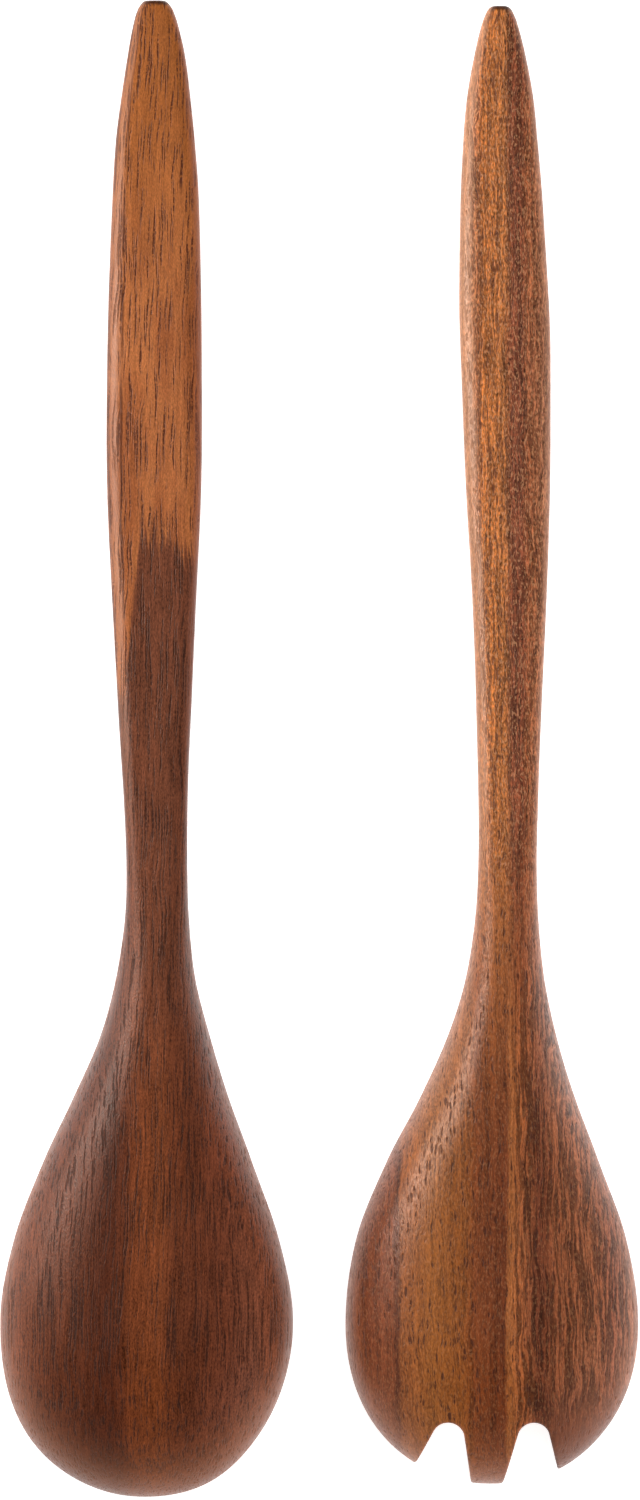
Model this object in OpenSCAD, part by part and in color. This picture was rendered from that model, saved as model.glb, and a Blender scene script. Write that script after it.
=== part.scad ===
// A pair of carved wooden salad servers, a spoon and a three-tined fork, lying face down side by side.
// +Z is up from the table, +Y runs from the bowls to the handles, the spoon is on the -X side.
// The origin is on the table, under the middle of the pair.

/* [Pair] */
// Width of the pair from the spoon's outer edge to the fork's outer edge
pair_w = 130.2; // [124:0.2:150]

/* [Spoon] */
// Length of the spoon
spoon_len = 305.2; // [270:0.2:340]
// Width of the spoon's bowl
spoon_bowl_w = 59.8; // [50:0.2:60]
// Distance from the end of the spoon's bowl to its widest line
spoon_bowl_end = 35.7; // [30:0.1:40]
// Width of the spoon's neck
spoon_neck_w = 12.4; // [10:0.2:14]
// Width of the spoon's handle at its widest
spoon_grip_w = 19.5; // [16:0.5:22]
// Squareness of the spoon's handle in section, 2 is an ellipse
spoon_square = 3.4; // [2:0.1:5]
// How far the end of the spoon's bowl leans to the left
spoon_lean = 0.65; // [0:0.05:1.5]

/* [Fork] */
// Length of the fork
fork_len = 301.4; // [270:0.2:340]
// Width of the fork's bowl
fork_bowl_w = 59.8; // [50:0.2:60]
// Distance from the end of the fork's bowl to its widest line
fork_bowl_end = 32.6; // [30:0.1:40]
// Width of the fork's neck
fork_neck_w = 11.9; // [10:0.1:14]
// Width of the fork's handle at its widest
fork_grip_w = 18.5; // [16:0.5:22]
// Squareness of the fork's handle in section, 2 is an ellipse
fork_square = 2.5; // [2:0.1:5]
// Radius of the round top of each gap between the tines
gap_r = 3.3; // [2.5:0.1:4]
// Distance of the gaps' round tops from the end of the middle tine
gap_len = 13.2; // [11:0.1:15]

/* [Side view] */
// Height of the bowl's back above the table
bowl_h = 21; // [18:0.5:26]
// Height of the neck's back above the table
neck_h = 17.4; // [15:0.2:20]
// Height of the handle's back at its widest
grip_h = 12; // [10:0.5:14]
// Thickness of the wood over the top of the hollow
bowl_wall = 5.5; // [4:0.5:7]
// Width of the bowl's rim
rim_w = 2.8; // [2:0.1:4]

/* [Hidden] */
// Shares of the length, from the bowl's end: where the hollow begins to close, where it ends, and the neck
HOLLOW_TURN = 0.215;
HOLLOW_END = 0.29;
NECK = 0.42;
// Squareness of the bowl, close to an ellipsoid
BOWL_SQUARE = 2.12;
// Points round each ring of a handle and across the roof of a hollow
RING_POINTS = 32;
ROOF_POINTS = 20;
// Middles of the gaps between the tines, from the middle of the fork's bowl
LEFT_GAP = -9.05;
RIGHT_GAP = 8.3;
// How much further up the table the fork's bowl ends than the spoon's
FORK_SHIFT = 2.7;
// How far a hollow or gap tool reaches past the wood
PAST = 3;
// Rings from the bowl's widest line to the neck, to where the tip begins, and to the end of the tip
BOWL_RINGS = 22;
HANDLE_RINGS = 24;
TIP_RINGS = 8;
TIP = 0.95;
// Rings round the curve of a bowl's end: the angle of the first one and the step, in degrees
FIRST_TURN = 5;
TURN_STEP = 8.5;

// Half widths: flare() runs from a narrow place to a wide one, taper() is a share of the handle's widest
function flare(narrow, wide, share) = (narrow + share * (wide - narrow)) / 2;
function taper(widest, share) = share * widest / 2;

// Outline from the bowl's widest line to the handle's tip.
// Each row: share of the length from the bowl's end, half width, sideways drift of the middle line.
function spoon_outline() =
    let (n = spoon_neck_w, b = spoon_bowl_w, g = spoon_grip_w)
    [
        [spoon_bowl_end / spoon_len, b / 2, 0],
        [0.172, flare(n, b, 0.878), -0.05],
        [0.226, flare(n, b, 0.626), 0.2],
        [0.266, flare(n, b, 0.41), 0.9],
        [0.306, flare(n, b, 0.22), 1.7],
        [0.346, flare(n, b, 0.083), 1.9],
        [0.386, flare(n, b, 0.014), 2.2],
        [NECK, n / 2, 2.2],
        [0.466, flare(n, g, 0.09), 2],
        [0.533, flare(n, g, 0.38), 1.75],
        [0.6, flare(n, g, 0.68), 1.6],
        [0.667, flare(n, g, 0.93), 1.6],
        [0.725, taper(g, 1), 1.65],
        [0.8, taper(g, 0.97), 1.75],
        [0.867, taper(g, 0.905), 1.85],
        [0.907, taper(g, 0.82), 1.75],
        [0.934, taper(g, 0.725), 1.85],
        [0.961, taper(g, 0.61), 2],
        [0.982, taper(g, 0.48), 1.9],
        [0.994, taper(g, 0.365), 1.8],
        [1, taper(g, 0.24), 1.75]
    ];

function fork_outline() =
    let (n = fork_neck_w, b = fork_bowl_w, g = fork_grip_w)
    [
        [fork_bowl_end / fork_len, b / 2, 0],
        [0.166, flare(n, b, 0.9), -0.15],
        [0.22, flare(n, b, 0.645), 0.2],
        [0.26, flare(n, b, 0.417), 1.15],
        [0.3, flare(n, b, 0.228), 1.95],
        [0.341, flare(n, b, 0.09), 2.55],
        [0.383, flare(n, b, 0.02), 2.9],
        [NECK, n / 2, 3],
        [0.464, flare(n, g, 0.05), 3.2],
        [0.532, flare(n, g, 0.24), 3.35],
        [0.6, flare(n, g, 0.51), 3.45],
        [0.667, flare(n, g, 0.77), 3.2],
        [0.735, flare(n, g, 0.94), 2.9],
        [0.775, taper(g, 1), 2.65],
        [0.802, taper(g, 0.988), 2.4],
        [0.87, taper(g, 0.905), 1.9],
        [0.91, taper(g, 0.815), 1.65],
        [0.938, taper(g, 0.73), 1.6],
        [0.965, taper(g, 0.575), 1.6],
        [0.986, taper(g, 0.41), 1.6],
        [0.996, taper(g, 0.29), 1.6],
        [1, taper(g, 0.2), 1.6]
    ];

// Side view from the bowl's widest line to the handle's tip, shared by both servers.
// Each row: share of the length, height of the back, height of the widest line, depth below that line,
// squareness of the section.
function side_view(widest, square) =
    [
        [widest, bowl_h, 1.2, 4, BOWL_SQUARE],
        [0.225, bowl_h - 0.4, 1.2, 4, BOWL_SQUARE],
        [0.27, bowl_h - 0.9, 2, 4.1, BOWL_SQUARE + 0.05],
        [0.305, neck_h + 2.1, 4.8, 4.3, BOWL_SQUARE + 0.1],
        [0.36, neck_h + 1.1, 9.6, 4.5, BOWL_SQUARE + 0.15],
        [NECK, neck_h, 12.6, 4.6, (BOWL_SQUARE + square) / 2],
        [0.54, neck_h * 0.6 + grip_h * 0.4, 10.6, 4.5, square],
        [0.72, grip_h, 7.4, 4.4, square],
        [0.87, grip_h - 2.6, 4.9, 4.2, square],
        [0.96, grip_h - 4.8, 3.2, 3.3, square],
        [0.99, grip_h - 5.6, 3, 3, square],
        [1, grip_h - 6.3, 2.9, 2.6, square]
    ];

// A smooth curve through the rows, level at its first row. Returns the row's values at share u.
function values(row) = [for (i = [1:len(row) - 1]) row[i]];
function slope(rows, i) =
    i == 0 ? 0 * values(rows[0])
    : let (a = rows[i - 1], b = rows[min(i + 1, len(rows) - 1)]) (values(b) - values(a)) / (b[0] - a[0]);
function row_below(rows, u, i = 0) = i + 2 >= len(rows) || u < rows[i + 1][0] ? i : row_below(rows, u, i + 1);
function along(rows, u) =
    let (
        i = row_below(rows, max(u, rows[0][0])),
        a = rows[i],
        b = rows[i + 1],
        span = b[0] - a[0],
        t = (max(u, a[0]) - a[0]) / span
    )
    values(a) * (2 * t ^ 3 - 3 * t ^ 2 + 1) + slope(rows, i) * span * (t ^ 3 - 2 * t ^ 2 + t)
    + values(b) * (3 * t ^ 2 - 2 * t ^ 3) + slope(rows, i + 1) * span * (t ^ 3 - t ^ 2);

// Sideways lean of a bowl's end, greatest a third of the way from its end to its widest line
function leaning(u, widest, lean) = let (t = min(u / widest, 1)) -lean * 27 / 4 * t * (1 - t) ^ 2;

// What is left of a bowl's size at share u: 1 past its widest line, 0 at its end
function rounding(u, end, widest) =
    u >= widest ? 1 : (1 - ((widest - u) / (widest - end)) ^ BOWL_SQUARE) ^ (1 / BOWL_SQUARE);
function closing(u, turn, end) = u <= turn ? 1 : sqrt(1 - ((u - turn) / (end - turn)) ^ 2);

// One point of a ring: a rounded square of half width w, up above and down below its widest line
function power(v, exponent) = sign(v) * abs(v) ^ exponent;
function ring_point(w, up, down, square, angle) =
    [w * power(cos(angle), 2 / square), (sin(angle) > 0 ? up : down) * power(sin(angle), 2 / square)];

// Shares of the length at which the rings stand: close together round the bowl's end and at the tip
function ring_shares(widest) =
    [
        for (turn = [FIRST_TURN:TURN_STEP:89]) widest * (1 - cos(turn)),
        for (i = [0:BOWL_RINGS]) widest + (NECK - widest) * i / BOWL_RINGS,
        for (i = [1:HANDLE_RINGS]) NECK + (TIP - NECK) * i / HANDLE_RINGS,
        for (i = [1:TIP_RINGS]) TIP + (1 - TIP) * sin(90 * i / TIP_RINGS)
    ];

// Rings of points, the first at the bowl's end. Each ring lies in a plane across the length.
function blank_rings(length, outline, side, lean) =
    let (widest = outline[0][0])
    [
        for (u = ring_shares(widest))
            let (
                o = along(outline, u),
                v = along(side, u),
                r = rounding(u, 0, widest),
                middle = o[1] + leaning(u, widest, lean)
            )
            [
                for (i = [0:RING_POINTS - 1])
                    let (p = ring_point(o[0] * r, (v[0] - v[1]) * r, v[2] * r, v[3], 360 * i / RING_POINTS))
                    [middle + p[0], u * length, max(0, v[1] + p[1])]
            ]
    ];

// The hollow's rings run from inside the rim to the foot of the neck, and reach down past the table
function hollow_rings(length, outline, side, lean) =
    let (start = rim_w / length, widest = outline[0][0])
    [
        for (turn = [FIRST_TURN:TURN_STEP:176])
            let (
                u = start + (HOLLOW_END - start) * (1 - cos(turn)) / 2,
                o = along(outline, u),
                v = along(side, u),
                middle = o[1] + leaning(u, widest, lean),
                r = rounding(u, start, widest) * closing(u, HOLLOW_TURN, HOLLOW_END),
                w = (o[0] - rim_w) * r,
                roof = (v[0] - bowl_wall - v[1]) * r
            )
            concat(
                [
                    for (i = [0:ROOF_POINTS - 1])
                        let (p = ring_point(w, roof, 0, BOWL_SQUARE, 180 * i / (ROOF_POINTS - 1)))
                        [middle + p[0], u * length, v[1] + p[1]]
                ],
                [[middle - w, u * length, -PAST], [middle + w, u * length, -PAST]]
            )
    ];

// A closed solid through the rings, with a flat face at each end
module loft(rings) {
    n = len(rings[0]);
    last = len(rings) - 1;
    sides = [
        for (j = [0:last - 1], i = [0:n - 1])
            let (a = j * n + i, b = j * n + (i + 1) % n)
            each [[a, b, b + n], [a, b + n, a + n]]
    ];
    ends = [[for (i = [n - 1:-1:0]) i], [for (i = [0:n - 1]) last * n + i]];
    polyhedron(points = [for (ring = rings) each ring], faces = concat(sides, ends), convexity = 6);
}

// A server with its bowl's end at y = 0 and the middle of its bowl at x = 0
module server(length, outline, square, lean = 0) {
    side = side_view(outline[0][0], square);
    difference() {
        loft(blank_rings(length, outline, side, lean));
        loft(hollow_rings(length, outline, side, lean));
    }
}

// A gap between two tines: a round top at x, with sides that lean out by the given angles
module tine_gap(x, left_lean, right_lean) {
    centre = gap_len - gap_r;
    drop = centre + PAST;
    translate([x, 0, -PAST])
        linear_extrude(bowl_h + 2 * PAST) {
            translate([0, centre]) circle(r = gap_r, $fn = 48);
            polygon([
                [-gap_r * cos(left_lean), centre + gap_r * sin(left_lean)],
                [gap_r * cos(right_lean), centre + gap_r * sin(right_lean)],
                [gap_r / cos(right_lean) + drop * tan(right_lean), -PAST],
                [-gap_r / cos(left_lean) - drop * tan(left_lean), -PAST]
            ]);
        }
}

module serving_spoon() {
    color("#6b4027")
        translate([(spoon_bowl_w - pair_w) / 2, -spoon_len / 2, 0])
            server(spoon_len, spoon_outline(), spoon_square, spoon_lean);
}

module serving_fork() {
    color("#a3652f")
        translate([(pair_w - fork_bowl_w) / 2, FORK_SHIFT - spoon_len / 2, 0])
            difference() {
                server(fork_len, fork_outline(), fork_square);
                tine_gap(LEFT_GAP, 27, 8.5);
                tine_gap(RIGHT_GAP, 15.5, 14);
            }
}

serving_spoon();
serving_fork();
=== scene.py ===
"""The looks of a pair of carved wooden salad servers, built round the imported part.

Both servers lie face down. Each is one closed mesh, worked out from its outline, its side view,
its hollow and, for the fork, the two gaps between the tines. Distances in the shape code are in
millimetres from the end of the server's bowl; the finished meshes are in metres in the part's frame.
"""

import math

import bpy
import numpy as np
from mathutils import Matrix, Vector


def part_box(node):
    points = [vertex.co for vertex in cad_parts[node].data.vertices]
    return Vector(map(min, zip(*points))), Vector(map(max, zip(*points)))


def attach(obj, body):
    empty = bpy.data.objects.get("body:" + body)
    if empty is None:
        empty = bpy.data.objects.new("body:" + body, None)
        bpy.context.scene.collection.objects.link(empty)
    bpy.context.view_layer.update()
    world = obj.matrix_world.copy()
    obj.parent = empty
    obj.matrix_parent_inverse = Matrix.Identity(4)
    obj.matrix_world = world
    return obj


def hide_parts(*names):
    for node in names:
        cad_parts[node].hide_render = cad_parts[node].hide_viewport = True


MM = 0.001

# The part's own proportions, as shares of a server's length
NECK = 0.42
HOLLOW_TURN = 0.215
HOLLOW_END = 0.29

# The part's own sizes. WIDEST is how far the bowl's widest line is from its end
NECK_H = 17.4
GRIP_H = 12.0
BOWL_WALL = 5.5
RIM_W = 2.8
GAP_R = 3.3
GAP_LEN = 13.2
SPOON_WIDEST = 35.7
SPOON_NECK_W = 12.4
SPOON_GRIP_W = 19.5
FORK_WIDEST = 32.6
FORK_NECK_W = 11.9
FORK_GRIP_W = 18.5

# How square a cross-section is: 2 is an ellipse
BOWL_SQUARE = 2.12
SPOON_SQUARE = 4.2
FORK_SQUARE = 2.6

# The bevel along the spoon's handle, and the sideways lean of its bowl's end
SPOON_BEVEL = 1.9
SPOON_LEAN = 0.65

# The fork's gaps: where each is from the middle line, and how far its two sides lean, in degrees
FORK_GAPS = ((-9.05, 27, 8.5), (8.3, 15.5, 14))

# Fine detail that only the looks have: rounding of each kind of edge, and the tool's waves
RIM_ROUND = 0.9
TIP_ROUND = 0.6
SLOT_ROUND = 0.45
CREASE_ROUND = 0.9
WAVE_H = 0.045

# The share of the depth under the widest line over which the skirt's painted edge light fades away
UNDER_FADE = 0.6

# A distance that never decides where the skin is, and the smallest bevel that counts
NOWHERE = -1e3
LEAST_BEVEL = 0.01

# Size of the mesh's cells, their length along the plain middle of the handle, and the room round
# the wood. The middle lies between the two shares of the length
CELL = 0.5
LONG_CELL = 2 * CELL
MARGIN = 1.5 * CELL
BOWL_PART = 0.31
TIP_PART = 0.94

# Standing out from its neighbours by more than FLAT starts to wear an edge, and SHARP wears it fully
FLAT = 0.03
SHARP = 0.18

# The picture: the length and the middle of what it covers, and the lens
PICTURE_H = 0.30615
PICTURE_X = 0.00014
PICTURE_Y = -0.0001
LENS = 300.0
SENSOR = 36.0


# ---------------------------------------------------------------- shape of a server

def flare(narrow, wide, share):
    """Half width between a narrow place and a wide one."""
    return (narrow + share * (wide - narrow)) / 2


def taper(widest, share):
    """Half width as a share of the handle's widest."""
    return share * widest / 2


def spoon_outline(length, bowl):
    """Rows from the bowl's widest line to the tip: share of the length, half width, drift."""
    neck, grip = SPOON_NECK_W, SPOON_GRIP_W
    return [
        [SPOON_WIDEST / length, bowl / 2, 0],
        [0.172, flare(neck, bowl, 0.878), -0.05],
        [0.226, flare(neck, bowl, 0.626), 0.2],
        [0.266, flare(neck, bowl, 0.41), 0.9],
        [0.306, flare(neck, bowl, 0.22), 1.7],
        [0.346, flare(neck, bowl, 0.083), 1.9],
        [0.386, flare(neck, bowl, 0.014), 2.2],
        [NECK, neck / 2, 2.2],
        [0.466, flare(neck, grip, 0.09), 2],
        [0.533, flare(neck, grip, 0.38), 1.75],
        [0.6, flare(neck, grip, 0.68), 1.6],
        [0.667, flare(neck, grip, 0.93), 1.6],
        [0.725, taper(grip, 1), 1.65],
        [0.8, taper(grip, 0.97), 1.75],
        [0.867, taper(grip, 0.905), 1.85],
        [0.907, taper(grip, 0.82), 1.75],
        [0.934, taper(grip, 0.725), 1.85],
        [0.961, taper(grip, 0.61), 2],
        [0.982, taper(grip, 0.48), 1.9],
        [0.994, taper(grip, 0.365), 1.8],
        [1, taper(grip, 0.24), 1.75],
    ]


def fork_outline(length, bowl):
    """The same rows for the fork."""
    neck, grip = FORK_NECK_W, FORK_GRIP_W
    return [
        [FORK_WIDEST / length, bowl / 2, 0],
        [0.166, flare(neck, bowl, 0.9), -0.15],
        [0.22, flare(neck, bowl, 0.645), 0.2],
        [0.26, flare(neck, bowl, 0.417), 1.15],
        [0.3, flare(neck, bowl, 0.228), 1.95],
        [0.341, flare(neck, bowl, 0.09), 2.55],
        [0.383, flare(neck, bowl, 0.02), 2.9],
        [NECK, neck / 2, 3],
        [0.464, flare(neck, grip, 0.05), 3.2],
        [0.532, flare(neck, grip, 0.24), 3.35],
        [0.6, flare(neck, grip, 0.51), 3.45],
        [0.667, flare(neck, grip, 0.77), 3.2],
        [0.735, flare(neck, grip, 0.94), 2.9],
        [0.775, taper(grip, 1), 2.65],
        [0.802, taper(grip, 0.988), 2.4],
        [0.87, taper(grip, 0.905), 1.9],
        [0.91, taper(grip, 0.815), 1.65],
        [0.938, taper(grip, 0.73), 1.6],
        [0.965, taper(grip, 0.575), 1.6],
        [0.986, taper(grip, 0.41), 1.6],
        [0.996, taper(grip, 0.29), 1.6],
        [1, taper(grip, 0.2), 1.6],
    ]


def side_view(widest, bowl_h, square, bevel):
    """Rows: share, back's height, widest line's height, depth below it, squareness, bevel."""
    return [
        [widest, bowl_h, 1.2, 4, BOWL_SQUARE, 0],
        [0.225, bowl_h - 0.4, 1.2, 4, BOWL_SQUARE, 0],
        [0.27, bowl_h - 0.9, 2, 4.1, BOWL_SQUARE + 0.05, 0],
        [0.305, NECK_H + 2.1, 4.8, 4.3, BOWL_SQUARE + 0.1, 0],
        [0.36, NECK_H + 1.1, 9.6, 4.5, BOWL_SQUARE + 0.15, 0],
        [NECK, NECK_H, 12.6, 4.6, (BOWL_SQUARE + square) / 2, 0.3 * bevel],
        [0.54, NECK_H * 0.6 + GRIP_H * 0.4, 10.6, 4.5, square, bevel],
        [0.72, GRIP_H, 7.4, 4.4, square, bevel],
        [0.87, GRIP_H - 2.6, 4.9, 4.2, square, bevel],
        [0.96, GRIP_H - 4.8, 3.2, 3.3, square, 0.7 * bevel],
        [0.99, GRIP_H - 5.6, 3, 3, square, 0.5 * bevel],
        [1, GRIP_H - 6.3, 2.9, 2.6, square, 0.4 * bevel],
    ]


def along(rows, share):
    """Smooth curves through the rows, level at the first one. Gives one array per column."""
    rows = np.array(rows, float)
    at, value = rows[:, 0], rows[:, 1:]
    slope = np.zeros_like(value)
    slope[1:-1] = (value[2:] - value[:-2]) / (at[2:] - at[:-2])[:, None]
    slope[-1] = (value[-1] - value[-2]) / (at[-1] - at[-2])
    share = np.clip(share, at[0], at[-1])
    i = np.clip(np.searchsorted(at, share, side="right") - 1, 0, len(at) - 2)
    span = (at[i + 1] - at[i])[..., None]
    t = (share - at[i])[..., None] / span
    curve = value[i] * (2 * t**3 - 3 * t**2 + 1) + value[i + 1] * (3 * t**2 - 2 * t**3)
    curve += slope[i] * span * (t**3 - 2 * t**2 + t) + slope[i + 1] * span * (t**3 - t**2)
    return np.moveaxis(curve, -1, 0)


def round_max(a, b, radius):
    """The larger of two distances, with the edge where they meet rounded off."""
    h = np.maximum(radius - np.abs(a - b), 0) / radius
    return np.maximum(a, b) + h * h * radius / 4


def oval(a, e, c, n, grad):
    """Distance from the skin of a rounded box, where a, e and c are shares of its half sizes.

    n: how square it is. grad: how much a, e and c change per millimetre.
    """
    s = np.maximum((a**n + e**n + c**n) ** (1 / n), 1e-6)
    steep = sum(((v / s) ** (n - 1) * g) ** 2 for v, g in zip((a, e, c), grad))
    return (s - 1) / np.sqrt(np.maximum(steep, 1e-8))


class Server:
    """One server's shape: distance() is below zero inside the wood.

    x, y and z are across, along from the bowl's end, and up. u is y as a share of the length.
    """

    def __init__(self, node, outline, square, bevel, lean=0.0, gaps=()):
        low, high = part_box(node)
        self.origin = np.array([(low.x + high.x) / 2, low.y, 0.0])
        self.length = (high.y - low.y) / MM
        self.width = (high.x - low.x) / MM
        self.height = high.z / MM
        self.outline = outline(self.length, self.width)
        self.widest = self.outline[0][0]
        self.side = side_view(self.widest, self.height, square, bevel)
        self.lean = lean
        self.gaps = gaps

    def middle(self, u, drift):
        """Sideways place of the middle line: the drift and the lean of the bowl's end."""
        t = np.clip(u / self.widest, 0, 1)
        hump = 27 / 4 * t * (1 - t) ** 2
        return drift - self.lean * hump

    def blank(self, x, u, z):
        """The outer skin, without the hollow and the gaps."""
        w, drift = along(self.outline, u)
        back, edge, depth, n, bevel = along(self.side, u)
        across = np.abs(x - self.middle(u, drift))
        upper = z > edge
        half_h = np.where(upper, back - edge, depth)
        c = np.abs(z - edge) / half_h
        e = np.maximum(self.widest - u, 0) / self.widest
        steep = (1 / w, 1 / (self.widest * self.length), 1 / half_h)
        skin = oval(across / w, e, c, n, steep)
        corner = (across - w + np.abs(z - edge) - half_h + bevel) / math.sqrt(2)
        return round_max(skin, np.where(upper & (bevel > LEAST_BEVEL), corner, NOWHERE), CREASE_ROUND)

    def hollow(self, x, u, z):
        """The skin of the hollow, above zero outside it."""
        w, drift = along(self.outline, u)
        back, edge = along(self.side, u)[:2]
        start = RIM_W / self.length
        roof = np.maximum(back - BOWL_WALL - edge, 1)
        n = BOWL_SQUARE
        # Shares of the hollow's half width, its height, its round end and its closing part
        a = np.abs(x - self.middle(u, drift)) / np.maximum(w - RIM_W, 1)
        c = np.maximum(z - edge, 0) / roof
        e = np.maximum(self.widest - u, 0) / (self.widest - start)
        k = np.maximum(u - HOLLOW_TURN, 0) / (HOLLOW_END - HOLLOW_TURN)
        ring = np.maximum((a**n + e**n + c**n) ** (1 / n), 1e-6)
        s = np.maximum(np.sqrt(ring**2 + k**2), 1e-6)
        pull = ring / s
        steep = (pull * (a / ring) ** (n - 1) / np.maximum(w - RIM_W, 1)) ** 2
        steep += (pull * (c / ring) ** (n - 1) / roof) ** 2
        steep += (pull * (e / ring) ** (n - 1) / ((self.widest - start) * self.length)) ** 2
        steep += (k / s / ((HOLLOW_END - HOLLOW_TURN) * self.length)) ** 2
        return (s - 1) / np.sqrt(np.maximum(steep, 1e-8))

    def gap(self, x, y, at, left, right):
        """A gap between tines, above zero outside it: a round top and two leaning sides."""
        dx, dy = x - at, y - (GAP_LEN - GAP_R)
        ls, lc = math.sin(math.radians(left)), math.cos(math.radians(left))
        rs, rc = math.sin(math.radians(right)), math.cos(math.radians(right))
        past_left = -dx * ls - dy * lc > 0
        past_right = dx * rs - dy * rc > 0
        left_side = np.where(past_left, -dx * lc + dy * ls, NOWHERE)
        right_side = np.where(past_right, dx * rc + dy * rs, NOWHERE)
        top = np.where(past_left | past_right, NOWHERE, np.hypot(dx, dy))
        return np.maximum(np.maximum(left_side, right_side), top) - GAP_R

    def skirt(self, p):
        """How near its widest line a point lies: 1 there, and 0 on the back and underneath."""
        back, edge, depth = along(self.side, p[1] / self.length)[:3]
        above = (back - p[2]) / (back - edge)
        below = 1 - (edge - p[2]) / (UNDER_FADE * depth)
        return np.clip(np.minimum(above, below), 0, 1)

    def across(self, p):
        """Where a point lies across the width: -1 at the left edge, 1 at the right one."""
        w, drift = along(self.outline, p[1] / self.length)
        return np.clip((p[0] - self.middle(p[1] / self.length, drift)) / w, -1, 1)

    def tool_waves(self, x, y, z):
        """The slight waves that a hand tool leaves."""
        wave = np.sin(x * 0.33 + 1.3 * np.sin(y * 0.041)) * np.sin(y * 0.127 + 0.7)
        wave = wave + 0.6 * np.sin(y * 0.071 + x * 0.19 + 2.1) + 0.4 * np.sin(z * 0.5 + y * 0.05)
        return WAVE_H * wave

    def distance(self, p):
        """Distance from the finished skin at points p, in millimetres."""
        x, y, z = p
        u = y / self.length
        wood = self.blank(x, u, z) + self.tool_waves(x, y, z)
        wood = round_max(wood, y - self.length, TIP_ROUND)
        wood = round_max(wood, -z, RIM_ROUND)
        wood = round_max(wood, -self.hollow(x, u, z), RIM_ROUND)
        for gap in self.gaps:
            wood = round_max(wood, -self.gap(x, y, *gap), SLOT_ROUND)
        return wood


# ---------------------------------------------------------------- mesh of a shape

def grid_lines(shape):
    """Grid lines across, along and up. The handle's plain middle has longer cells."""
    half = shape.width / 2 + MARGIN
    across = np.arange(-half, half + CELL, CELL)
    bowl = np.arange(-MARGIN, BOWL_PART * shape.length, CELL)
    tip = np.arange(TIP_PART * shape.length, shape.length + 2 * CELL, CELL)
    count = int((tip[0] - bowl[-1]) / LONG_CELL)
    handle = np.linspace(bowl[-1], tip[0], count + 1)[1:-1]
    up = np.arange(-MARGIN, shape.height + 2 * CELL, CELL)
    return across, np.concatenate([bowl, handle, tip]), up


def surface_net(lines, d):
    """Points and quads of the surface where d crosses zero: one point in each crossed cell."""
    inside = d < 0
    size = np.array(d.shape) - 1
    corners = [(i, j, k) for i in (0, 1) for j in (0, 1) for k in (0, 1)]

    def corner(array, c):
        return array[tuple(slice(o, o + s) for o, s in zip(c, size))]

    count = sum(corner(inside, c).astype(np.int8) for c in corners)
    crossed = (count > 0) & (count < 8)
    number = np.full(crossed.shape, -1)
    number[crossed] = np.arange(crossed.sum())
    cell = np.argwhere(crossed)
    total = np.zeros((len(cell), 3))
    hits = np.zeros(len(cell))
    for a in corners:
        for axis in (0, 1, 2):
            if a[axis]:
                continue
            b = tuple(v + (i == axis) for i, v in enumerate(a))
            da, db = corner(d, a)[crossed], corner(d, b)[crossed]
            cut = (da < 0) != (db < 0)
            t = np.where(cut, da / np.where(cut, da - db, 1), 0)
            for i in (0, 1, 2):
                pa, pb = lines[i][cell[:, i] + a[i]], lines[i][cell[:, i] + b[i]]
                total[:, i] += np.where(cut, pa + t * (pb - pa), 0)
            hits += cut
    return total / hits[:, None], quads_of(inside, number)


def quads_of(inside, number):
    """One quad round each grid edge that the surface crosses, facing outwards."""
    quads = []
    for axis in (0, 1, 2):
        b, c = [(1, 2), (2, 0), (0, 1)][axis]
        first = [slice(1, -1)] * 3
        first[axis] = slice(0, -1)
        second = list(first)
        second[axis] = slice(1, None)
        leaves = inside[tuple(first)] & ~inside[tuple(second)]
        enters = ~inside[tuple(first)] & inside[tuple(second)]
        for found, order in ((leaves, (0, 1, 2, 3)), (enters, (3, 2, 1, 0))):
            at = np.argwhere(found)
            at[:, b] += 1
            at[:, c] += 1
            ring = []
            for db, dc in ((-1, -1), (0, -1), (0, 0), (-1, 0)):
                q = at.copy()
                q[:, b] += db
                q[:, c] += dc
                ring.append(number[q[:, 0], q[:, 1], q[:, 2]])
            quads.append(np.stack([ring[i] for i in order], axis=1))
    return np.concatenate(quads)


def settle(shape, points, rounds=1, step=0.01):
    """Moves points onto the skin, straight down the steepest way."""
    for _ in range(rounds):
        d = shape.distance(points.T)
        slope = np.empty_like(points)
        for i in range(3):
            shift = np.zeros(3)
            shift[i] = step
            slope[:, i] = (shape.distance((points + shift).T) - d) / step
        move = d[:, None] * slope / np.maximum((slope**2).sum(1), 0.05)[:, None]
        reach = np.linalg.norm(move, axis=1)[:, None]
        points = points - move * np.minimum(1, CELL / np.maximum(reach, 1e-9))
    return points


def even_out(points, quads):
    """Each point goes halfway to the middle of its neighbours, which squares up the quads."""
    total = np.zeros_like(points)
    count = np.zeros(len(points))
    for i in range(4):
        a, b = quads[:, i], quads[:, (i + 1) % 4]
        for k in range(3):
            total[:, k] += np.bincount(a, points[b, k], len(points))
            total[:, k] += np.bincount(b, points[a, k], len(points))
        count += np.bincount(a, minlength=len(points)) + np.bincount(b, minlength=len(points))
    return points + 0.5 * (total / count[:, None] - points)


def rubbed(points, quads):
    """How much each point stands out from its neighbours, 0 to 1: the edges that wear first."""
    out = points - even_out(points, quads)
    corner = points[quads]
    face = np.cross(corner[:, 2] - corner[:, 0], corner[:, 3] - corner[:, 1])
    normal = np.zeros_like(points)
    for i in range(4):
        for k in range(3):
            normal[:, k] += np.bincount(quads[:, i], face[:, k], len(points))
    normal /= np.maximum(np.linalg.norm(normal, axis=1), 1e-9)[:, None]
    bulge = (out * normal).sum(1)[:, None] / CELL**2
    for _ in range(3):
        bulge = even_out(np.repeat(bulge, 3, axis=1), quads)[:, :1]
    return np.clip((bulge[:, 0] - FLAT) / (SHARP - FLAT), 0, 1)


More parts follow.
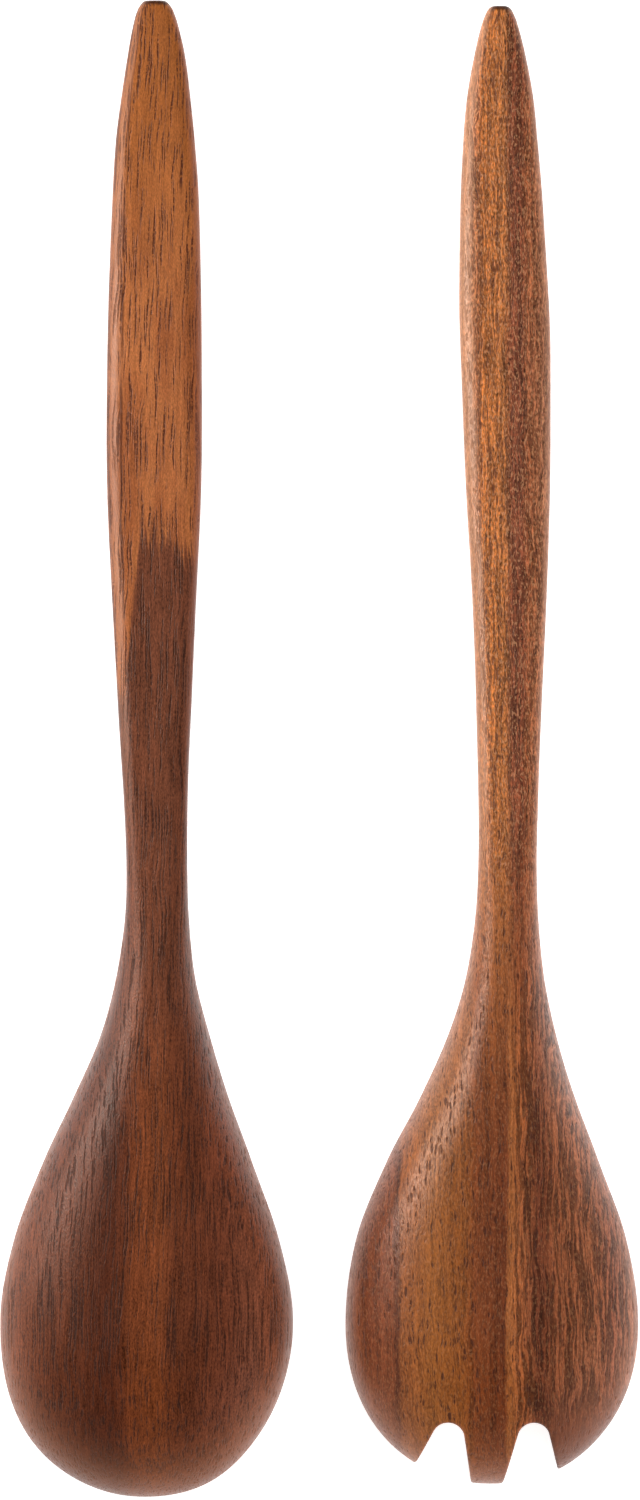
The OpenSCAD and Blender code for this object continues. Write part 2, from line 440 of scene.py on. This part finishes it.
def server_mesh(shape):
    """Points and quads of a server, in millimetres."""
    lines = grid_lines(shape)
    d = shape.distance(np.meshgrid(*lines, indexing="ij"))
    points, quads = surface_net(lines, d)
    for _ in range(3):
        points = settle(shape, even_out(points, quads))
    return settle(shape, points, rounds=2), quads


def add_server(name, shape, body, node, material):
    """The server as a shown piece that stands for its CAD node."""
    points, quads = server_mesh(shape)
    mesh = bpy.data.meshes.new(name)
    mesh.from_pydata((shape.origin + points * MM).tolist(), [], quads.tolist())
    given = {
        "wear": rubbed(points, quads),
        "skirt": shape.skirt(points.T),
        "across": shape.across(points.T),
    }
    for label, values in given.items():
        mesh.attributes.new(label, "FLOAT", "POINT").data.foreach_set("value", values)
    mesh.polygons.foreach_set("use_smooth", [True] * len(mesh.polygons))
    mesh.materials.append(material)
    mesh.update()
    piece = bpy.data.objects.new(name, mesh)
    bpy.context.scene.collection.objects.link(piece)
    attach(piece, body)
    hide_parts(node)


# ---------------------------------------------------------------- wood

# Colours, 0 to 255, as they should show on a screen. Places are in millimetres
CUT_END = (58, 28, 15)

SPOON_BANDS = [
    (-30, (112, 57, 31)),
    (-20, (98, 48, 26)),
    (-13, (90, 43, 23)),
    (-7, (82, 38, 21)),
    (-4.2, (98, 47, 25)),
    (-2.6, (118, 58, 28)),
    (3.0, (122, 61, 29)),
    (5.5, (110, 54, 28)),
    (8.5, (99, 48, 26)),
    (16, (110, 55, 33)),
    (22, (118, 64, 42)),
    (30, (124, 70, 47)),
]
SPOON_NECK = (106, 58, 38)
SAPWOOD = (160, 88, 46)
PALE_SAPWOOD = (176, 103, 56)
GOLDEN_SAPWOOD = (160, 90, 40)
SPOON_PORE = (44, 18, 9)
SAPWOOD_PORE = (78, 32, 13)
# Painted light and wear: the paler tint of the spoon's lit rim and bowl end, and of its rubbed edges
SPOON_WEAR_AND_LIGHT_TINT = (150, 88, 54)

FORK_BANDS = [
    (-30, (140, 78, 47)),
    (-26, (118, 60, 35)),
    (-20.5, (130, 67, 37)),
    (-19, (98, 50, 30)),
    (-18.4, (150, 84, 43)),
    (-12, (150, 87, 39)),
    (-5.5, (142, 78, 33)),
    (-3.6, (122, 61, 28)),
    (2.6, (108, 51, 24)),
    (3.4, (164, 94, 46)),
    (5.6, (142, 77, 40)),
    (8.0, (120, 64, 37)),
    (9.0, (100, 50, 30)),
    (10.8, (104, 53, 31)),
    (12.5, (128, 70, 42)),
    (20, (132, 74, 45)),
    (24, (120, 66, 44)),
    (30, (142, 87, 60)),
]
FORK_HANDLE_BANDS = [
    (-7, (168, 110, 74)),
    (-4.4, (168, 106, 68)),
    (-3.0, (162, 94, 55)),
    (-2.0, (174, 99, 46)),
    (0.6, (180, 104, 50)),
    (2.4, (166, 97, 48)),
    (4.0, (128, 66, 41)),
    (6.0, (126, 65, 41)),
    (7.4, (154, 86, 52)),
    (9.6, (156, 94, 62)),
    (11.5, (160, 104, 76)),
]
# Painted glints in the fork's figure
FORK_GLINT = (214, 152, 106)
FORK_PORE = (68, 30, 16)
FORK_HANDLE_PORE = (98, 50, 29)
# Painted light and wear: the paler tint of the fork's lit rim and bowl end, and of its rubbed edges
FORK_WEAR_AND_LIGHT_TINT = (182, 106, 60)
RIGHT_TINE = (104, 54, 34)

# Painted sheen along the handles' edges, the reflection of the lamps and the white room: where across the
# width each starts, how far it takes to fade in, its colour and its strength. Across, -1 is the left edge
# and 1 the right one
SPOON_LEFT_SHEEN = (-0.70, -0.10, (136, 90, 66), 0.45)
SPOON_RIGHT_SHEEN = (0.78, 0.16, (132, 74, 52), 0.6)
FORK_LEFT_SHEEN = (-0.62, -0.2, (190, 134, 98), 0.5)
FORK_RIGHT_SHEEN = (0.80, 0.16, (176, 118, 86), 0.5)

# Painted shade in the creases of the spoon's left bevel: place across, where each starts, and its colour
SPOON_CREASE_SHADE = ((-0.70, 170, (74, 32, 16)), (-0.97, 150, (74, 36, 22)))

# Layers of the spoon's pores: size of a cell, a pore's width, the share of cells with one, the seed
SPOON_PORES = [
    ((0.50, 26, 1.2), 0.34, 1.0, 2.2),
    ((0.60, 36, 1.6), 0.30, 0.8, 6.6),
    ((0.55, 13, 1.4), 0.30, 0.6, 9.1),
]
SPOON_BEAD = 0.7

# How strongly each wood mirrors the light, and the tint of what it mirrors
SPOON_GLOSS = (0.28, (1.0, 0.80, 0.68, 1))
FORK_GLOSS = (0.30, (1.0, 0.88, 0.78, 1))

# Half the width that a list of bands covers, and the depth and roughness of the open pores
BAND_REACH = 32
PORE_DEPTH = 0.08 * MM
PORE_ROUGH = 0.2

# How irregularly the pores are scattered, and the darkest that uneven wood gets
SCATTER = 0.8
DARKEST = 0.15


def paint(red, green, blue):
    """A screen colour, 0 to 255, as the linear colour that shaders use."""
    parts = [v / 255 for v in (red, green, blue)]
    return tuple(v / 12.92 if v < 0.04045 else ((v + 0.055) / 1.055) ** 2.4 for v in parts) + (1,)


class Nodes:
    """Short ways to add and link shader nodes in one material."""

    def __init__(self, material):
        self.material = material
        material.use_nodes = True
        self.tree = material.node_tree
        self.tree.nodes.clear()

    def add(self, kind, **settings):
        """A new node with its settings."""
        node = self.tree.nodes.new("ShaderNode" + kind)
        for key, value in settings.items():
            setattr(node, key, value)
        return node

    def put(self, socket, value):
        """Links a socket, sets a constant, or leaves the socket alone for None."""
        if isinstance(value, bpy.types.NodeSocket):
            self.tree.links.new(value, socket)
        elif value is not None:
            socket.default_value = value

    def math(self, operation, a, b=None, c=None):
        """One sum of up to three values."""
        node = self.add("Math", operation=operation)
        for socket, value in zip(node.inputs, (a, b, c)):
            self.put(socket, value)
        return node.outputs[0]

    def smooth(self, value, low, high, to_low=0.0, to_high=1.0):
        """A soft step from to_low to to_high as the value goes from low to high."""
        node = self.add("MapRange", interpolation_type="SMOOTHSTEP")
        for key, given in zip(range(5), (value, low, high, to_low, to_high)):
            self.put(node.inputs[key], given)
        return node.outputs[0]

    def stretched(self, space, size, seed):
        """The space with each direction divided by its size in millimetres, and moved by the seed."""
        node = self.add("CombineXYZ")
        for socket, place, length in zip(node.inputs, space, size):
            self.put(socket, self.math("MULTIPLY_ADD", place, 1 / length, seed))
        return node.outputs[0]

    def figure(self, space, size, seed, detail=2, roughness=0.5):
        """Soft noise, about 0.5 on average, in lumps as large as the size."""
        node = self.add("TexNoise")
        self.put(node.inputs["Vector"], self.stretched(space, size, seed))
        node.inputs["Scale"].default_value = 1.0
        node.inputs["Detail"].default_value = detail
        node.inputs["Roughness"].default_value = roughness
        return node.outputs["Fac"]

    def sway(self, space, size, seed):
        """Soft noise round 0."""
        return self.math("SUBTRACT", self.figure(space, size, seed), 0.5)

    def cells(self, space, size, seed):
        """Distance to the nearest of scattered points, and two random numbers for that point."""
        node = self.add("TexVoronoi", feature="F1", distance="EUCLIDEAN")
        self.put(node.inputs["Vector"], self.stretched(space, size, seed))
        node.inputs["Scale"].default_value = 1.0
        node.inputs["Randomness"].default_value = SCATTER
        parts = self.add("SeparateXYZ")
        self.put(parts.inputs[0], node.outputs["Color"])
        return node.outputs["Distance"], parts.outputs[0], parts.outputs[1]

    def shade(self, colour, amount):
        """The colour made lighter or darker by a factor."""
        node = self.add("VectorMath", operation="SCALE")
        self.put(node.inputs[0], colour)
        self.put(node.inputs["Scale"], amount)
        return node.outputs[0]

    def uneven(self, *layers):
        """A factor round 1: pairs of a noise and its strength."""
        total = 1.0
        for noise, strength in layers:
            total = self.math("MULTIPLY_ADD", self.math("SUBTRACT", noise, 0.5), strength, total)
        return self.math("MAXIMUM", total, DARKEST)

    def ramp(self, value, stops):
        """A colour ramp: stops are pairs of place and colour."""
        node = self.add("ValToRGB")
        self.put(node.inputs[0], value)
        elements = node.color_ramp.elements
        for place, colour in stops[1:-1]:
            elements.new(place).color = colour
        elements[0].position, elements[0].color = stops[0]
        elements[-1].position, elements[-1].color = stops[-1]
        return node.outputs[0]

    def mix(self, factor, a, b):
        """Colour a where the factor is 0, and b where it's 1."""
        node = self.add("Mix", data_type="RGBA", blend_type="MIX")
        self.put(node.inputs[0], factor)
        self.put(node.inputs[6], a)
        self.put(node.inputs[7], b)
        return node.outputs[2]

    def attribute(self, name):
        """A value that the mesh carries at its points."""
        return self.add("Attribute", attribute_name=name).outputs["Fac"]


def wood_space(n, shape):
    """Across, along and up in millimetres from the end of the bowl, as three sockets."""
    parts = n.add("SeparateXYZ")
    n.put(parts.inputs[0], n.add("TexCoord").outputs["Object"])
    return [n.math("MULTIPLY_ADD", parts.outputs[i], 1 / MM, -shape.origin[i] / MM) for i in range(3)]


def swaying(n, space, slant, sway, ripple=0.0):
    """The wood space with its grain leaning, swaying gently from side to side, and rippling."""
    x, y, z = space
    slow = n.sway(space, (30, 70, 30), 3.1)
    small = n.sway(space, (5, 18, 5), 8.4)
    x = n.math("MULTIPLY_ADD", slow, sway, x)
    x = n.math("MULTIPLY_ADD", small, 0.3 * sway, x)
    x = n.math("MULTIPLY_ADD", y, -slant, x)
    if ripple:
        quick = n.sway(space, (3, 8, 5), 2.7)
        x = n.math("MULTIPLY_ADD", quick, ripple, x)
    return [x, y, z]


def across_bands(n, space, stops):
    """Bands of colour across the wood: stops are pairs of millimetres from the middle and colour."""
    x = n.math("MULTIPLY_ADD", space[0], 1 / (2 * BAND_REACH), 0.5)
    return n.ramp(x, [((mm + BAND_REACH) / (2 * BAND_REACH), paint(*tint)) for mm, tint in stops])


def pores(n, grain, size, width, share, seed, bead=0.9):
    """Dark pores: thin beaded spindles along the grain, which show as dots where it runs out.

    size: one cell of the scattered points, which holds one pore. share: how many cells have a pore.
    """
    dist, pick, kind = n.cells(grain, size, seed)
    thick = n.math("MULTIPLY_ADD", kind, 0.6 * width, 0.55 * width)
    spindle = n.smooth(n.math("DIVIDE", dist, thick), 0.7, 1.2, 1, 0)
    beads = n.smooth(n.figure(grain, (0.5, bead, 1.5), seed), 0.36, 0.52, 0.25, 1)
    present = n.math("LESS_THAN", pick, share)
    return n.math("MULTIPLY", n.math("MULTIPLY", spindle, present), beads)


def wear_and_painted_light(n, shape, space, colour, tint, most):
    """The rim and the bowl's end are paler with painted light from the white room, the rubbed edges are
    paler from wear, and the cut end of the handle is darker.
    """
    y = space[1]
    # Painted light: paler round the widest line and towards the bowl's end, where the white room lights
    # the sides
    painted_end_light = n.smooth(y, 0, 45, 0.36, 0)
    low = n.smooth(n.math("ADD", n.attribute("skirt"), painted_end_light), 0.45, 1.0, 0, most)
    on_bowl = n.smooth(y, 120, 200, 1, 0)
    rubbed_edge = n.math("MULTIPLY", n.attribute("wear"), 0.3)
    # Painted light on the bowl, or real wear on the rubbed edges, whichever is paler
    pale = n.math("MAXIMUM", n.math("MULTIPLY", low, on_bowl), rubbed_edge)
    cut = n.smooth(y, shape.length - 1.2, shape.length - 0.5, 0, 0.9)
    return n.mix(cut, n.mix(pale, colour, tint), paint(*CUT_END))


def painted_edge_sheen(n, space, colour, start, left, right):
    """Along the handle, from start on: painted sheen makes the left and right edges paler, as the lamps
    and the white room reflect in them.
    """
    across = n.math("MULTIPLY_ADD", n.sway(space, (2, 12, 3), 5.7), 0.10, n.attribute("across"))
    on = n.smooth(space[1], start - 25, start + 25)
    for place, turn, tint, most in (left, right):
        # Painted sheen: the edge takes the tint of the reflection
        edge = n.smooth(across, place, place + turn, 0, most)
        colour = n.mix(n.math("MULTIPLY", edge, on), colour, paint(*tint))
    return colour


def painted_crease_shade(n, space, colour, place, start, tint):
    """Painted shade: a thin dark line along the handle, which comes and goes."""
    across = n.math("MULTIPLY_ADD", n.sway(space, (3, 22, 3), 4.2), 0.12, n.attribute("across"))
    away = n.math("ABSOLUTE", n.math("SUBTRACT", across, place))
    line = n.smooth(away, 0.012, 0.045, 0.75, 0)
    on = n.smooth(space[1], start - 20, start + 20)
    broken = n.smooth(n.figure(space, (3, 9, 3), 6.6), 0.38, 0.55, 0.2, 1)
    return n.mix(n.math("MULTIPLY", n.math("MULTIPLY", line, on), broken), colour, paint(*tint))


def finish_wood(n, colour, satin, fine, marks, gloss):
    """The surface: satin, oiled wood with rough open pores. fine: the relief between the pores."""
    bump = n.add("Bump")
    bump.inputs["Strength"].default_value = 1.0
    bump.inputs["Distance"].default_value = PORE_DEPTH
    n.put(bump.inputs["Height"], n.math("SUBTRACT", fine, marks))
    surface = n.add("BsdfPrincipled")
    n.put(surface.inputs["Base Color"], colour)
    n.put(surface.inputs["Roughness"], n.math("MULTIPLY_ADD", marks, PORE_ROUGH, satin))
    n.put(surface.inputs["Normal"], bump.outputs[0])
    surface.inputs["Specular IOR Level"].default_value = gloss[0]
    surface.inputs["Specular Tint"].default_value = gloss[1]
    out = n.add("OutputMaterial")
    n.put(out.inputs["Surface"], surface.outputs[0])


def sapwood(n, space, grain):
    """Where the spoon's handle is pale: above a ragged line that falls away on the left."""
    x, y = space[:2]
    line = n.smooth(x, -4.8, -0.8, 164, 197)
    line = n.math("ADD", line, n.smooth(x, 4, 8.5, 0, -5))
    ragged = n.figure(grain, (0.55, 40, 0.55), 9.3, 3, 0.65)
    line = n.math("MULTIPLY_ADD", n.math("SUBTRACT", ragged, 0.5), 22, line)
    return n.smooth(n.math("SUBTRACT", y, line), -3.5, 3)


def heart_colour(n, space):
    """The spoon's dark wood: bands along the bowl, and one plain brown from the neck up."""
    bands = across_bands(n, swaying(n, space, 0.0, 4.5), SPOON_BANDS)
    return n.mix(n.smooth(space[1], 72, 112, 0, 0.85), bands, paint(*SPOON_NECK))


def sap_colour(n, space, cloud):
    """The spoon's pale wood: cloudy, and golden towards the tip."""
    light = n.mix(n.smooth(cloud, 0.38, 0.62), paint(*SAPWOOD), paint(*PALE_SAPWOOD))
    return n.mix(n.smooth(space[1], 230, 290), light, paint(*GOLDEN_SAPWOOD))


def spoon_pores(n, grain):
    """Layers of long, thin pores, one over the other."""
    marks = 0.0
    for size, width, share, seed in SPOON_PORES:
        marks = n.math("MAXIMUM", marks, pores(n, grain, size, width, share, seed, SPOON_BEAD))
    return marks


def spoon_wood(shape):
    """Dark brown heartwood with a red strip along the bowl and pale sapwood on the handle."""
    n = Nodes(bpy.data.materials.new("spoon_wood_carved"))
    space = wood_space(n, shape)
    grain = swaying(n, space, 0.025, 4.5, 1.0)
    cloud = n.figure(grain, (5, 26, 8), 4.4)
    streak = n.figure(grain, (1.1, 60, 6), 1.7, 3, 0.6)
    hair = n.figure(grain, (0.26, 9, 1.8), 5.2, 2, 0.6)
    speck = n.figure(grain, (0.22, 0.6, 0.4), 7.7, 1)
    heart_factor = n.uneven((cloud, 0.9), (streak, 0.6), (hair, 1.9), (speck, 2.0))
    sap_factor = n.uneven((cloud, 0.35), (streak, 0.4), (hair, 0.9), (speck, 1.3))
    dark = n.shade(heart_colour(n, space), heart_factor)
    light = n.shade(sap_colour(n, space, cloud), sap_factor)
    pale = sapwood(n, space, grain)
    colour = n.mix(pale, dark, light)
    marks = spoon_pores(n, grain)
    pore_tint = n.mix(pale, paint(*SPOON_PORE), paint(*SAPWOOD_PORE))
    pore_strength = n.math("MULTIPLY", marks, n.smooth(pale, 0, 1, 0.75, 0.95))
    colour = n.mix(pore_strength, colour, pore_tint)
    # Painted light on the rim and the bowl's end, and paler rubbed edges from wear
    colour = wear_and_painted_light(n, shape, space, colour, paint(*SPOON_WEAR_AND_LIGHT_TINT), 0.55)
    # Painted sheen along the handle's left and right edges
    colour = painted_edge_sheen(n, space, colour, 150, SPOON_LEFT_SHEEN, SPOON_RIGHT_SHEEN)
    # Painted shade along the crease and the outer edge of the left bevel
    for place, start, tint in SPOON_CREASE_SHADE:
        colour = painted_crease_shade(n, space, colour, place, start, tint)
    satin = n.smooth(hair, 0.3, 0.7, 0.30, 0.42)
    fine = n.math("MULTIPLY", speck, 0.8)
    finish_wood(n, colour, satin, fine, marks, SPOON_GLOSS)
    return n.material


def fork_ground(n, y, wavy):
    """The fork's bands: one set along the bowl and another along the handle."""
    bowl = across_bands(n, wavy, FORK_BANDS)
    handle = across_bands(n, wavy, FORK_HANDLE_BANDS)
    return n.mix(n.smooth(y, 60, 150), bowl, handle)


def fork_lines(n, y, wavy, grain, lively):
    """A factor: wavy stripes on the handle, and lines in the bowl right of its golden edge."""
    stripe = n.smooth(n.figure(grain, (0.55, 16, 3), 6.1, 1), 0.45, 0.55, 0.26, -0.36)
    vein = n.smooth(n.figure(grain, (0.50, 13, 2.5), 3.9, 1), 0.45, 0.55, 0.38, -0.46)
    in_bowl = n.math("MULTIPLY", n.smooth(wavy[0], 3.5, 5.5), n.smooth(y, 150, 90))
    lines = n.math("ADD", n.math("MULTIPLY", stripe, lively), n.math("MULTIPLY", vein, in_bowl))
    return n.math("ADD", lines, 1.0)


def fork_pores(n, grain, lively):
    """Short pores, and dots that are denser on the handle."""
    holes = pores(n, grain, (0.55, 3.2, 1.2), 0.38, 0.55, 2.2)
    dots = n.smooth(n.figure(grain, (0.32, 1.8, 0.9), 7.3, 1), 0.57, 0.66)
    dots = n.math("MULTIPLY", dots, n.smooth(lively, 0, 1, 0.3, 0.65))
    return n.math("MAXIMUM", n.math("MULTIPLY", holes, 0.85), dots)


def painted_glints(n, grain, lively, colour):
    """Painted glints: pale flecks where the figure catches the light, mostly on the handle."""
    glint = n.smooth(n.figure(grain, (0.28, 0.8, 0.7), 8.3, 1), 0.52, 0.66)
    strength = n.math("MULTIPLY", glint, n.smooth(lively, 0, 1, 0.15, 0.5))
    return n.mix(strength, colour, paint(*FORK_GLINT))


def fork_wood(shape):
    """Golden brown wood with lengthwise stripes and a lively, mottled figure."""
    n = Nodes(bpy.data.materials.new("fork_wood_carved"))
    space = wood_space(n, shape)
    x, y = space[:2]
    wavy = swaying(n, space, 0.0, 2.6, 1.6)
    grain = swaying(n, space, -0.01, 3.5, 1.9)
    lively = n.smooth(y, 90, 160)
    streak = n.figure(grain, (0.9, 70, 6), 1.2, 3, 0.6)
    hair = n.figure(grain, (0.30, 12, 1.8), 5.2, 2, 0.6)
    mottle = n.figure(grain, (0.26, 0.8, 0.7), 4.1, 1)
    mottled = n.smooth(lively, 0, 1, 1.5, 2.8)
    factor = n.uneven((streak, 1.3), (hair, 1.5), (mottle, mottled))
    colour = n.shade(fork_ground(n, y, wavy), factor)
    colour = n.shade(colour, fork_lines(n, y, wavy, grain, lively))
    # Painted glints in the figure, mostly on the handle
    colour = painted_glints(n, grain, lively, colour)
    marks = fork_pores(n, grain, lively)
    colour = n.mix(marks, colour, n.mix(lively, paint(*FORK_PORE), paint(*FORK_HANDLE_PORE)))
    # Painted light on the rim and the bowl's end, and paler rubbed edges from wear
    colour = wear_and_painted_light(n, shape, space, colour, paint(*FORK_WEAR_AND_LIGHT_TINT), 0.35)
    on_right_tine = n.math("MULTIPLY", n.smooth(x, 9, 13), n.smooth(y, 26, 8, 0, 0.8))
    colour = n.mix(on_right_tine, colour, paint(*RIGHT_TINE))
    # Painted sheen along the handle's left and right edges
    colour = painted_edge_sheen(n, space, colour, 120, FORK_LEFT_SHEEN, FORK_RIGHT_SHEEN)
    satin = n.smooth(mottle, 0.3, 0.7, 0.42, 0.30)
    fine = n.math("MULTIPLY", mottle, 0.5)
    finish_wood(n, colour, satin, fine, marks, FORK_GLOSS)
    return n.material


# ---------------------------------------------------------------- room, light and camera

# The room's size and whiteness. Walls turn into the dark ceiling between the two shares of straight up
FLOOR_SIZE = 6
FLOOR_COLOUR = (0.86, 0.86, 0.86, 1)
FLOOR_GLOW = 0.85
WALLS = 0.45
CEILING = 0.03
WALLS_TO = 0.35
CEILING_FROM = 0.85
WHITE = (1, 1, 1, 1)


def add_floor():
    """A white light table, so that the floor stays plain and pale."""
    bpy.ops.mesh.primitive_plane_add(size=FLOOR_SIZE, location=(0, 0, 0))
    floor = bpy.context.object
    floor.name = "floor"
    n = Nodes(bpy.data.materials.new("floor_white"))
    surface = n.add("BsdfPrincipled")
    surface.inputs["Base Color"].default_value = FLOOR_COLOUR
    surface.inputs["Roughness"].default_value = 0.9
    surface.inputs["Emission Color"].default_value = WHITE
    surface.inputs["Emission Strength"].default_value = FLOOR_GLOW
    out = n.add("OutputMaterial")
    n.put(out.inputs["Surface"], surface.outputs[0])
    floor.data.materials.append(n.material)


def add_light(name, place, aim, size, power, sheen=False):
    """A soft lamp, size wide and high. A sheen lamp is only mirrored in the wood; the others aren't."""
    lamp = bpy.data.lights.new(name, "AREA")
    lamp.shape = "RECTANGLE"
    lamp.size, lamp.size_y = size
    lamp.energy = power
    item = bpy.data.objects.new(name, lamp)
    item.location = place
    item.rotation_mode = "QUATERNION"
    item.rotation_quaternion = (Vector(aim) - Vector(place)).to_track_quat("-Z", "Y")
    item.visible_glossy = sheen
    item.visible_diffuse = not sheen
    bpy.context.scene.collection.objects.link(item)


def add_world():
    """White walls all round and a dark ceiling, so that flat tops keep their full colour."""
    world = bpy.data.worlds.new("studio")
    world.use_nodes = True
    tree = world.node_tree
    where = tree.nodes.new("ShaderNodeTexCoord")
    parts = tree.nodes.new("ShaderNodeSeparateXYZ")
    fade = tree.nodes.new("ShaderNodeMapRange")
    fade.interpolation_type = "SMOOTHSTEP"
    for socket, value in zip(list(fade.inputs)[1:5], (WALLS_TO, CEILING_FROM, WALLS, CEILING)):
        socket.default_value = value
    tree.links.new(where.outputs["Generated"], parts.inputs[0])
    tree.links.new(parts.outputs[2], fade.inputs[0])
    tree.links.new(fade.outputs[0], tree.nodes["Background"].inputs["Strength"])
    tree.nodes["Background"].inputs["Color"].default_value = WHITE
    bpy.context.scene.world = world


def add_camera():
    """Straight down, with a long lens and the handles at the top of the picture."""
    data = bpy.data.cameras.new("camera")
    data.sensor_width = SENSOR
    data.lens = LENS
    data.clip_end = 20
    camera = bpy.data.objects.new("camera", data)
    camera.location = (PICTURE_X, PICTURE_Y, PICTURE_H * LENS / SENSOR)
    bpy.context.scene.collection.objects.link(camera)
    bpy.context.scene.camera = camera


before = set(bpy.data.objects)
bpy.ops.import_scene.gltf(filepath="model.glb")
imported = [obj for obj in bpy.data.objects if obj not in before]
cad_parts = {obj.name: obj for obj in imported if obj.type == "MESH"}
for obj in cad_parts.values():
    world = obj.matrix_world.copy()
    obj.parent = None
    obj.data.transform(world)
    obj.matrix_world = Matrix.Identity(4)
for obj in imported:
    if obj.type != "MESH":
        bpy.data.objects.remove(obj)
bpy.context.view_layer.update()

spoon = Server("serving_spoon", spoon_outline, SPOON_SQUARE, SPOON_BEVEL, lean=SPOON_LEAN)
fork = Server("serving_fork", fork_outline, FORK_SQUARE, 0, gaps=FORK_GAPS)
add_server("spoon_carved", spoon, "spoon", "serving_spoon", spoon_wood(spoon))
add_server("fork_carved", fork, "fork", "serving_fork", fork_wood(fork))

add_floor()
add_world()
add_light("sheen_strip", (-0.60, 0.14, 0.28), (0, 0, 0.01), (0.2, 0.45), 3.9, sheen=True)
add_light("left_panel", (-0.58, 0.3, 0.2), (0, 0.05, 0.01), (0.5, 0.3), 4.2)
add_light("overhead", (0.1, 0.2, 1.2), (0, 0, 0), (0.9, 0.9), 6.8)
add_light("right_fill", (0.75, -0.45, 0.35), (0, -0.05, 0), (0.6, 0.4), 3.4)
add_camera()
bpy.context.scene.view_settings.view_transform = "Standard"
